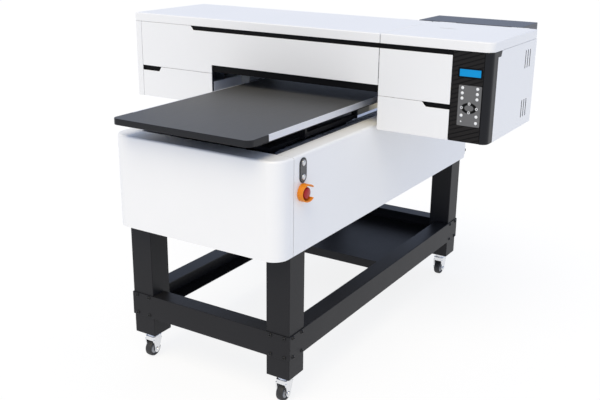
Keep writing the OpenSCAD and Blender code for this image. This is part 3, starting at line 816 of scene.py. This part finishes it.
class PRINTER_OT_emergency_stop(bpy.types.Operator):
    """The yellow guard, open towards the rear, and the red mushroom head inside it"""
    bl_idname = "printer.emergency_stop"
    bl_label = "Emergency stop"

    def execute(self, context):
        guard = softened_copy("stop_guard", "estop_guard", 1.0 * MM, 3)
        dress(guard, "base", "guard", "guard_yellow", "estop_guard")
        at = middle("estop_mushroom")
        base = Vector((corners("estop_mushroom")[1].x - 22 * MM, at.y, at.z))
        head = lathe("stop_head", [(0, -9.8), (8, -9.8), (8, 10.6), (14.4, 10.6), (16.4, 11.4),
                                   (17.2, 12.8), (17.2, 16.6), (16.4, 18.6), (14.6, 20), (9, 21.5),
                                   (4, 21.9), (0, 21.95)], base, "X", 48)
        dress(head, "estop_mushroom", "mushroom", "mushroom_red", "estop_mushroom")
        return {"FINISHED"}


class PRINTER_OT_stand(bpy.types.Operator):
    """Square legs, channel beams, socket-head bolts and the shelf tray"""
    bl_idname = "printer.stand"
    bl_label = "Stand"

    def execute(self, context):
        size = sizes()
        lo, hi = corners("stand_legs")
        width = 84 * MM
        leg = block("stand_leg", (hi.x - width, lo.y, lo.z), (hi.x, lo.y + width, hi.z))
        round_edges(leg, runs("Z"), size.tube_edge, 4)
        round_edges(leg, on("Z", lo.z), 1.2 * MM, 2)
        back = Vector((0, hi.y - lo.y - width, 0))
        across = Vector((width - (hi.x - lo.x), 0, 0))
        legs = row(leg, "stand_legs_painted", [back, across, back + across])
        dress(legs, "base", "stand", "black_frame", "stand_legs")

        lo, hi = corners("stand_beams")
        sheet, reach, gap = 3 * MM, 60 * MM, 0.5 * MM

        def channel(name, web, x0, x1, y0, y1):
            """A web between a lower and an upper flange"""
            parts = [soften(web, 1.0 * MM, 3)]
            for z in (lo.z, hi.z - sheet):
                flange = block("flange", (x0, y0, z), (x1, y1, z + sheet))
                parts.append(soften(flange, 0.9 * MM))
            return joined(name, parts)

        inner = hi.x - sheet - width - gap
        web = block("front web", lo, (hi.x, lo.y + sheet, hi.z))
        front = channel("stand_beam_front", web, -inner, inner, lo.y + sheet, lo.y + reach)
        rear = copied(front, "stand_beam_rear")
        rear.data.transform(Matrix.Translation((0, lo.y + hi.y, 0))
                            @ Matrix.Scale(-1, 4, (0, 1, 0)))
        rear.data.flip_normals()
        web = block("side web", (hi.x - sheet, lo.y + sheet + gap, lo.z),
                    (hi.x, hi.y - sheet - gap, hi.z))
        inner = sheet + width + gap
        right = channel("stand_beam_right", web, hi.x - reach, hi.x - sheet,
                        lo.y + inner, hi.y - inner)
        left = copied(right, "stand_beam_left", mirrored=True)
        dress(joined("stand_beams_painted", [front, rear, right, left]), "base", "stand",
              "black_frame", "stand_beams")

        low = (lo.z + hi.z) / 2 - 32 * MM
        apart, rise = 50 * MM, 64 * MM
        legs_lo, legs_hi = corners("stand_legs")
        outline = [(0, 1.6), (2.7, 1.8), (2.9, 3.9), (4.1, 3.6), (5.6, 2.6), (6.4, 1.2), (6.5, 0),
                   (0, 0)]
        down = [(radius, -height) for radius, height in outline]
        heads = []

        def four_heads(shape, place, axis, along):
            """A square of four bolt heads, the first of them at a place"""
            head = lathe("bolt head", shape, place, axis, 18)
            x, y = along
            heads.append(row(head, "bolt heads", [(x, y, 0), (0, 0, rise), (x, y, rise)]))

        for end, shape in ((lo.y, down), (hi.y, outline)):
            for side in (-1, 1):
                x = side * (legs_hi.x - width / 2) - apart / 2
                four_heads(shape, (x, end, low), "Y", (apart, 0))
        for end, shape in ((lo.x, down), (hi.x, outline)):
            for y in (legs_lo.y + width / 2, legs_hi.y - width / 2):
                four_heads(shape, (end, y - apart / 2, low), "X", (0, apart))
        dress(joined("stand_bolt_heads", heads), "base", "bolt", "black_bolt", "stand_bolts")

        tray = softened_copy("shelf_tray_painted", "shelf_tray", 0.9 * MM)
        dress(tray, "base", "stand", "black_frame", "shelf_tray")
        return {"FINISHED"}


class PRINTER_OT_casters(bpy.types.Operator):
    """Four swivel casters: bright forks, black tyres and grey wheel caps"""
    bl_idname = "printer.casters"
    bl_label = "Casters"

    def execute(self, context):
        first = middle("caster_wheel_fl")
        pivot = Vector((first.x, first.y + 8 * MM, 0))
        fork = softened_copy("fork", "caster_fork_fl", 1.1 * MM, 3)
        race = lathe("race", [(0, 71), (20.5, 71), (21.5, 73), (21.5, 77), (19.4, 79), (19.4, 81),
                              (22.5, 82.5), (22.5, 90), (20.5, 93.6), (0, 93.6)], pivot, "Z", 36)
        fork = joined("fork", [fork, race])

        side = [(17.6, -8), (18.6, -10.2), (22, -11.9), (25, -11.6), (27, -9.4), (27.9, -5)]
        tyre = lathe("tyre", side + [(28, 0)] + reflected(side) + side[:1], first, "X", 44)
        side = [(0, -14.4), (7.5, -14.4), (8.6, -13.6), (9.4, -10.4), (12.4, -8.6), (16, -8.2),
                (17.8, -9.2)]
        core = lathe("core", side + reflected(side), first, "X", 40)
        cap = lathe("axle cap", [(0, 20.3), (6.4, 20.3), (6.4, 22.4), (5.4, 23.6), (2.4, 23.9),
                                 (0, 23.9)],
                    first, "X", 24)
        nut = [(0, -23.9), (4.4, -23.9), (6.4, -23), (6.4, -20.3), (0, -20.3)]
        other = lathe("axle nut", nut, first, "X", 6)
        axle = rod("axle", "X", first, 3.9 * MM, 41 * MM, 20)
        wheel = joined("wheel", [painted(part, finish) for part, finish in (
            (tyre, "tyre"), (core, "hub"), (cap, "chrome"), (other, "chrome"),
            (axle, "chrome"))])
        for key in ("fl", "fr", "rl", "rr"):
            shift = middle("caster_wheel_" + key) - first
            mine = copied(fork, "fork_" + key + "_plated", shift)
            dress(mine, "fork_" + key, "chrome", "caster_metal", "caster_fork_" + key)
            mine = copied(wheel, "wheel_" + key + "_tyred", shift)
            dress(mine, "wheel_" + key, None, "caster_tyre", "caster_wheel_" + key)
        for spare in (fork, wheel):
            bpy.data.objects.remove(spare, do_unlink=True)
        return {"FINISHED"}


class PRINTER_OT_bed(bpy.types.Operator):
    """The round-cornered bed plate and its bright side strips"""
    bl_idname = "printer.bed"
    bl_label = "Bed"

    def execute(self, context):
        size = sizes()
        lo, hi = corners("platen")
        plate = block("bed_plate", lo, hi)
        round_edges(plate, runs("Z"), size.platen_corner, 12)
        strip_lo, strip_hi = corners("platen_strips")
        for side in (-1, 1):
            edge = side * hi.x
            inner = side * (hi.x - 3.5 * MM)
            xs = sorted((inner, edge + side * 5 * MM))
            cut(plate, block("rebate", (xs[0], strip_lo.y - 0.3 * MM, lo.z - 5 * MM),
                             (xs[1], strip_hi.y + 0.3 * MM, hi.z + 5 * MM)))
        soften(plate, size.platen_edge, 3, 50)
        paint_faces(plate, ["platen", "platen_rim"], lambda f: 0 if f.normal.z > 0.95 else 1)
        dress(plate, "bed", None, "platen_top", "platen")

        strip = block("bed_strip", (strip_hi.x - 3.4 * MM, strip_lo.y, strip_lo.z), strip_hi)
        sink(strip, faces("X", 1), 5.5 * MM, 0.6 * MM, 0.8 * MM)
        soften(strip, 0.4 * MM)
        other = copied(strip, "bed_strip.left", mirrored=True)
        dress(joined("bed_strips_bright", [strip, other]), "bed", "strip", "strip", "platen_strips")
        return {"FINISHED"}


def head_sheet(name, x0, x1, z0, z1):
    """A flat front sheet of the head"""
    y = corners("front_cover")[0].y
    return block(name, (x0, y, z0), (x1, y + sizes().sheet, z1))


def slanted(x0, x1, z0, z1, left=0, right=0):
    """A cutting block whose upper left and right edges lean by a distance"""
    y = corners("front_cover")[0].y
    made = block("cutter", (x0, y - 20 * MM, z0), (x1, y + 20 * MM, z1))
    for x, lean in ((x0, left), (x1, right)):
        if lean:
            move_corners(made, lambda v: abs(v.co.x - x) < NEAR and abs(v.co.z - z1) < NEAR,
                         (lean, 0, 0))
    return made


def finger_pocket(x0, y0, x1, y1, z1):
    """A block whose lower rear edge leans forwards"""
    made = block("pocket", (x0, y0, POCKET_Z), (x1, y1, z1))
    move_corners(made, lambda v: v.co.y > -50 * MM and v.co.z < POCKET_Z + 10 * MM,
                 (0, -8 * MM, 0))
    return made


def knuckles(piece, name, starts, barrel, axis_y, axis_z, arm_y):
    """Joins the middle hinge knuckles and their arms to a cover"""
    parts = [piece]
    for x in starts:
        x += 20.5 * MM
        made = rod(name, "X", (x + 9.5 * MM, axis_y, axis_z), barrel / 2, 19 * MM, 24)
        arm = block("arm", (x, min(arm_y, axis_y), axis_z - 2 * MM),
                    (x + 19 * MM, max(arm_y, axis_y), axis_z + 1 * MM))
        parts += [made, soften(arm, 0.5 * MM)]
    return joined(name, parts)


class PRINTER_OT_head_covers(bpy.types.Operator):
    """Hinged top covers, fixed front sheets, side sheets and the two drop-down doors"""
    bl_idname = "printer.head_covers"
    bl_label = "Head covers"

    def lid(self, name, node, x0, x1, corner):
        lo, hi = corners(node)
        size = sizes()
        rear = corners("head_rear_panel")[0].y - 3 * MM
        made = block(name, (x0, lo.y, lo.z), (x1, rear, hi.z))
        open_faces(made, faces("Z", -1))
        if corner > size.lid_edge:
            round_edges(made, both(runs("Z"), on("X", x1), on("Y", lo.y)), corner, 12)
            inner = x0
        else:
            round_edges(made, both(runs("Z"), on("X", x0)), size.lid_edge, 5)
            inner = x1
        round_edges(made, both(runs("Z"), on("X", inner)), 4.3 * MM, 4)
        round_edges(made, on("Z", hi.z), 4 * MM, 5)
        return thicken(made, size.sheet)

    def execute(self, context):
        size = sizes()
        lo, hi = corners("top_cover")
        hinge_y, hinge_z = 293 * MM, hi.z - 5 * MM
        top = self.lid("top_cover_shell", "top_cover", lo.x, hi.x, size.lid_edge)
        top = knuckles(top, "top_cover_shell", (-600 * MM, 200 * MM), 9 * MM, hinge_y, hinge_z,
                       284 * MM)
        dress_cover(top, "top_cover", "top_cover")
        lo, hi = corners("right_lid")
        lid = self.lid("right_lid_shell", "right_lid", lo.x, hi.x, size.lid_corner)
        grip = block("grip", (420 * MM, 119 * MM, hi.z - 8 * MM),
                     (480 * MM, 127 * MM, hi.z + 5 * MM))
        round_edges(grip, runs("Z"), 3.9 * MM, 6)
        cut(lid, grip)
        lid = knuckles(lid, "right_lid_shell", (350 * MM, 610 * MM), 9 * MM, hinge_y, hinge_z,
                       284 * MM)
        dress_cover(lid, "right_lid", "right_lid")

        lo, hi = corners("front_cover")
        opening = -344 * MM
        sheet_y = lo.y + size.sheet
        front = head_sheet("front_sheet", lo.x, hi.x, lo.z, hi.z)
        cut(front, slanted(opening, hi.x + 10 * MM, lo.z - 10 * MM, 933.5 * MM),
            slanted(-424 * MM, hi.x + 10 * MM, 1052 * MM, hi.z + 1 * MM, left=-12.8 * MM))
        soften(front, size.panel_edge)
        lip = soften(block("lip", (opening, sheet_y, 933.5 * MM), (hi.x, hi.y, 936.5 * MM)),
                     0.6 * MM)
        dress_cover(joined("front_sheet", [front, lip]), "front_cover")

        door_z0, door_z1 = 788 * MM, 903 * MM
        left = head_sheet("left_door_sheet", -671 * MM, opening, door_z0, door_z1)
        cut(left, slanted(-680 * MM, -592 * MM, 886 * MM, 910 * MM, right=14.1 * MM))
        soften(left, size.panel_edge)
        left = knuckles(left, "left_door_sheet", (-640 * MM, -430 * MM), **DOOR_HINGE)
        dress_cover(left, "left_door", "left_door")
        right = head_sheet("right_door_sheet", 327 * MM, 574 * MM, door_z0, 899 * MM)
        cut(right, slanted(495 * MM, 585 * MM, 884 * MM, 905 * MM, left=-19.6 * MM))
        soften(right, size.panel_edge)
        right = knuckles(right, "right_door_sheet", (350 * MM, 500 * MM), **DOOR_HINGE)
        dress_cover(right, "right_door", "right_door")

        lo, hi = corners("right_panel")
        panel = soften(head_sheet("right_sheet", lo.x, hi.x, lo.z, hi.z), size.panel_edge)
        flange = block("flange", (lo.x + 1 * MM, sheet_y, lo.z), (lo.x + 4 * MM, hi.y, hi.z))
        soften(flange, 0.6 * MM)
        dress_cover(joined("right_sheet", [panel, flange]), "right_panel")

        lo, hi = corners("left_side_cover")
        side = block("left_side_sheet", lo, hi)
        open_faces(side, either(faces("X", 1), faces("Y", 1), faces("Z", 1), faces("Z", -1)))
        round_edges(side, both(runs("Z"), on("X", lo.x), on("Y", lo.y)), size.lid_edge, 5)
        dress_cover(thicken(side, size.sheet), "left_side_cover")

        lo, hi = corners("right_side_cover")
        side = block("right_side_sheet", lo, hi)
        slots = []
        for z in (817 * MM, 981 * MM):
            for y in (188 * MM, 210 * MM, 232 * MM):
                slot = block("slot", (lo.x - 5 * MM, y - 3 * MM, z),
                             (hi.x + 5 * MM, y + 3 * MM, z + 59 * MM))
                round_edges(slot, runs("X"), 2.9 * MM, 4)
                slots.append(slot)
        cut(side, *slots, finger_pocket(lo.x - 5 * MM, lo.y - 5 * MM, hi.x + 5 * MM, POCKET_REAR,
                                        hi.z + 5 * MM))
        soften(side, 0.7 * MM)
        # painted shade: near-black blocks behind the vent slots and near-black slot walls stand in
        # for the shade inside the slots
        slot_shade_backing = block("slot_shade_backing", (lo.x - 4 * MM, 180 * MM, 810 * MM),
                        (lo.x - 1 * MM, 240 * MM, 882 * MM))
        other = copied(slot_shade_backing, "slot_shade_backing.upper", (0, 0, 164 * MM))
        paint_faces(side, ["cover", "recess"],
                    lambda f: 1 if abs(f.normal.x) < 0.9 and 184 * MM < f.center.y < 236 * MM
                    and 812 * MM < f.center.z < 1045 * MM else 0)
        dress(joined("right_side_sheet", [side, painted(slot_shade_backing, "recess"),
                                          painted(other, "recess")]),
              "base", None, "white_cover", "right_side_cover")
        return {"FINISHED"}


class PRINTER_OT_corner_column(bpy.types.Operator):
    """The round black corner beside the control panel, with the pocket below the lid"""
    bl_idname = "printer.corner_column"
    bl_label = "Corner column"

    def execute(self, context):
        lo, hi = corners("corner_column")
        column = block("column", lo, (hi.x, -76 * MM, hi.z))
        open_faces(column, either(faces("X", -1), faces("Y", 1), faces("Z", 1), faces("Z", -1)))
        round_edges(column, both(runs("Z"), on("X", hi.x), on("Y", lo.y)), 21.9 * MM, 10)
        thicken(column, sizes().sheet)
        pocket = finger_pocket(hi.x - 3 * MM, -76 * MM, hi.x, POCKET_REAR, hi.z)
        soften(pocket, 0.6 * MM)
        dress(joined("corner_column_gloss", [column, pocket]), "base", "column", "column_black",
              "corner_column")
        return {"FINISHED"}


def over_window(name, margin, front=-140 * MM, back=-110 * MM):
    """A block over the display's window, larger by a margin all round"""
    lo, hi = corners("lcd")
    return block(name, (lo.x - margin, front, lo.z - margin),
                 (hi.x + margin, back, hi.z + margin))


class PRINTER_OT_control_panel(bpy.types.Operator):
    """The ribbed black panel with its lit display and its keypad"""
    bl_idname = "printer.control_panel"
    bl_label = "Control panel"

    def execute(self, context):
        size = sizes()
        lo, hi = corners("control_panel")
        panel = block("panel", (lo.x, PANEL_FRONT, lo.z), hi)
        open_faces(panel, faces("Y", 1))
        round_edges(panel, on("Y", PANEL_FRONT), 1.5 * MM, 2)
        thicken(panel, size.sheet)
        cut(panel, over_window("window", 0.5 * MM))
        rise = 0.36 * (hi.x - lo.x)
        rib = block("rib", (lo.x, -126.7 * MM, lo.z - rise),
                    (hi.x, -125.5 * MM, lo.z - rise + 11 * MM))
        move_corners(rib, lambda v: v.co.x > hi.x - NEAR, (0, 0, rise))
        count = int((hi.z - lo.z + rise) / size.rib_pitch)
        ribs = row(rib, "ribs", [(0, 0, size.rib_pitch * i) for i in range(1, count + 1)])
        keep_inside(ribs, block("field", (lo.x + 1.5 * MM, -130 * MM, lo.z + 1.5 * MM),
                                (hi.x - 1.5 * MM, -120 * MM, hi.z - 1.5 * MM)))
        cut(ribs, over_window("window", 4 * MM))
        # the panel between the ribs takes the near-black painted recess shade
        dress(joined("control_panel_ribbed", [painted(panel, "recess"), painted(ribs, "woven")]),
              "base", None, "panel_black", "control_panel")

        glass = over_window("display_glass", 0, -125.6 * MM, corners("lcd")[1].y)
        sink(glass, faces("Y", -1), 1.2 * MM, 0.3 * MM, 0.4 * MM)
        painted(glass, "display")
        bezel = over_window("bezel", 3 * MM, -126.9 * MM, -125.7 * MM)
        cut(bezel, over_window("window", -0.8 * MM))
        painted(soften(bezel, 0.5 * MM), "key_mark")
        dress(joined("display", [glass, bezel]), "base", None, "screen", "lcd")

        lo, hi = corners("keypad")
        face = -127.4 * MM
        pad = block("pad", (lo.x, face, lo.z), (hi.x, hi.y, hi.z))
        round_edges(pad, runs("Y"), 3 * MM, 5)
        painted(soften(pad, 0.4 * MM), "keypad")
        dome = [(0, -1.1), (2.2, -1.05), (3.8, -0.8), (4.7, -0.3), (4.9, 0.2), (0, 0.2)]
        ring = [(2.3, -0.5), (4.2, -0.5), (4.2, 0.2), (2.3, 0.2), (2.3, -0.5)]
        round_keys = [(x, z) for x in (613, 661) for z in (925, 941, 957)]
        round_keys += [(614, 872), (662, 872), (662, 852)]
        arrow_keys = [(613.5, 896), (661.5, 896), (637.5, 909.5), (637.5, 882.5)]
        parts = [pad]
        for outline, places in ((dome, round_keys), (ring, arrow_keys),
                                ([(r * 0.5, h) for r, h in dome], [(614, 853)])):
            first = Vector((places[0][0] * MM, face, places[0][1] * MM))
            part = painted(lathe("key", outline, first, "Y", 18), "dome")
            parts.append(row(part, "keys", [((x - places[0][0]) * MM, 0, (z - places[0][1]) * MM)
                                            for x, z in places[1:]]))
        centre = Vector((637.5 * MM, face, 896 * MM))
        outline = [(9.8, -0.3), (16.5, -0.3), (16.5, 0.2), (9.8, 0.2), (9.8, -0.3)]
        oval = lathe("oval", outline, centre, "Y", 40)
        with Shaping(oval):
            everything()
            bpy.ops.transform.resize(value=(1.5, 1, 1), center_override=centre)
        parts.append(painted(oval, "key_mark"))
        dress(joined("keypad_overlay", parts), "base", None, "keypad_grey", "keypad")
        return {"FINISHED"}


class PRINTER_OT_rear_cabinet(bpy.types.Operator):
    """The dark cabinet behind the right lid, with louvres in its back"""
    bl_idname = "printer.rear_cabinet"
    bl_label = "Rear cabinet"

    def execute(self, context):
        made = softened_copy("cabinet", "rear_cabinet", 1.3 * MM, 3)
        dress(made, "base", "cabinet", "cabinet_grey", "rear_cabinet")
        return {"FINISHED"}


class PRINTER_OT_gantry(bpy.types.Operator):
    """The cross beam with its screws, the print carriage and its heads"""
    bl_idname = "printer.gantry"
    bl_label = "Gantry and carriage"

    def execute(self, context):
        beam = painted(softened_copy("beam", "gantry_beam", 1.2 * MM), "machine_black")
        screw = lathe("screw", [(0, -1.0), (1.6, -1.2), (1.8, -2.6), (2.9, -2.2), (3.2, -0.8),
                                (3.2, 0), (0, 0)],
                      (-240 * MM, -6 * MM, 925 * MM), "Y", 16)
        screws = row(painted(screw, "cast"), "screws", [(60 * MM * i, 0, 0) for i in range(1, 9)])
        dress(joined("gantry_beam_painted", [beam, screws]), "base", None, "carriage_black",
              "gantry_beam")

        shell = softened_copy("shell", "print_carriage", 1.5 * MM, 3)
        dress(shell, "print_carriage", "station", "carriage_cover", "print_carriage")
        heads = softened_copy("heads", "print_heads", 0.8 * MM)
        dress(heads, "print_carriage", "cast", "head_metal", "print_heads")
        return {"FINISHED"}


class PRINTER_OT_drag_chain(bpy.types.Operator):
    """The cable chain beside the right rail"""
    bl_idname = "printer.drag_chain"
    bl_label = "Drag chain"

    def execute(self, context):
        chain = softened_copy("chain_links", "drag_chain", 1.0 * MM, 1)
        lo, hi = corners("drag_chain")
        pitch = sizes().link_pitch
        start = math.ceil(lo.y / pitch) * pitch
        gap = block("gap", (lo.x - 2 * MM, start, hi.z - 1.6 * MM),
                    (hi.x + 2 * MM, start + CHAIN_GAP * pitch, hi.z + 2 * MM))
        count = int((hi.y - start) / pitch)
        cut(chain, row(gap, "gaps", [(0, pitch * i, 0) for i in range(1, count)]))
        dress(chain, "base", "chain", "chain_plastic", "drag_chain")
        return {"FINISHED"}


class PRINTER_OT_stage(bpy.types.Operator):
    """Floor, soft light and camera"""
    bl_idname = "printer.stage"
    bl_label = "Stage"

    def execute(self, context):
        studio = context.scene.printer_studio
        choose()
        bpy.ops.mesh.primitive_plane_add(size=studio.floor_size, location=(0, 0, -0.5 * MM))
        floor = settle("floor")
        floor.data.materials.append(floor_paper("floor paper"))

        world = bpy.data.worlds.new("studio")
        context.scene.world = world
        world.use_nodes = True
        sky = world.node_tree.nodes["Background"]
        sky.inputs["Color"].default_value = SKY
        sky.inputs["Strength"].default_value = SKY_STRENGTH

        choose()
        bpy.ops.object.light_add(type="SUN", rotation=(math.radians(32), math.radians(6), 0))
        sun = context.object
        sun.name = "overhead"
        sun.data.energy = SUN_STRENGTH
        sun.data.angle = math.radians(40)
        sun.data.color = SUN

        yaw, pitch, roll = studio.camera_yaw, studio.camera_pitch, studio.camera_roll
        ahead = Vector((-math.sin(yaw) * math.cos(pitch), math.cos(yaw) * math.cos(pitch),
                        math.sin(pitch)))
        right = Vector((math.cos(yaw), math.sin(yaw), 0))
        up = right.cross(ahead)
        right, up = (right * math.cos(roll) + up * math.sin(roll),
                     up * math.cos(roll) - right * math.sin(roll))
        camera = bpy.data.objects.new("camera", bpy.data.cameras.new("camera"))
        context.scene.collection.objects.link(camera)
        camera.data.lens = studio.lens
        camera.data.sensor_width = 36
        camera.matrix_world = (Matrix.Translation(studio.camera_place)
                               @ Matrix((right, up, -ahead)).transposed().to_4x4())
        context.scene.camera = camera
        context.scene.view_settings.view_transform = "Standard"
        return {"FINISHED"}


STEPS = (PRINTER_OT_finishes, PRINTER_OT_base_covers, PRINTER_OT_rear_knobs,
         PRINTER_OT_push_buttons, PRINTER_OT_emergency_stop, PRINTER_OT_stand,
         PRINTER_OT_casters, PRINTER_OT_bed, PRINTER_OT_head_covers, PRINTER_OT_corner_column,
         PRINTER_OT_control_panel, PRINTER_OT_rear_cabinet, PRINTER_OT_gantry,
         PRINTER_OT_drag_chain, PRINTER_OT_stage)


class PRINTER_PT_steps(bpy.types.Panel):
    """Lists the printer's pieces in the sidebar"""
    bl_idname = "PRINTER_PT_steps"
    bl_label = "Flatbed UV printer"
    bl_space_type = "VIEW_3D"
    bl_region_type = "UI"
    bl_category = "Printer"

    def draw(self, context):
        for group in (context.scene.printer_sizes, context.scene.printer_colours,
                      context.scene.printer_studio):
            box = self.layout.box()
            for name in group.__annotations__:
                box.prop(group, name)
        for step in STEPS:
            self.layout.operator(step.bl_idname)


CLASSES = (PrinterSizes, PrinterColours, StudioSettings, *STEPS, PRINTER_PT_steps)


def register():
    for each in CLASSES:
        bpy.utils.register_class(each)
    bpy.types.Scene.printer_sizes = bpy.props.PointerProperty(type=PrinterSizes)
    bpy.types.Scene.printer_colours = bpy.props.PointerProperty(type=PrinterColours)
    bpy.types.Scene.printer_studio = bpy.props.PointerProperty(type=StudioSettings)


def unregister():
    del bpy.types.Scene.printer_studio
    del bpy.types.Scene.printer_colours
    del bpy.types.Scene.printer_sizes
    for each in reversed(CLASSES):
        bpy.utils.unregister_class(each)


def main():
    register()
    for step in STEPS:
        group, name = step.bl_idname.split(".")
        getattr(getattr(bpy.ops, group), name)()
    choose()


if __name__ == "__main__":
    main()
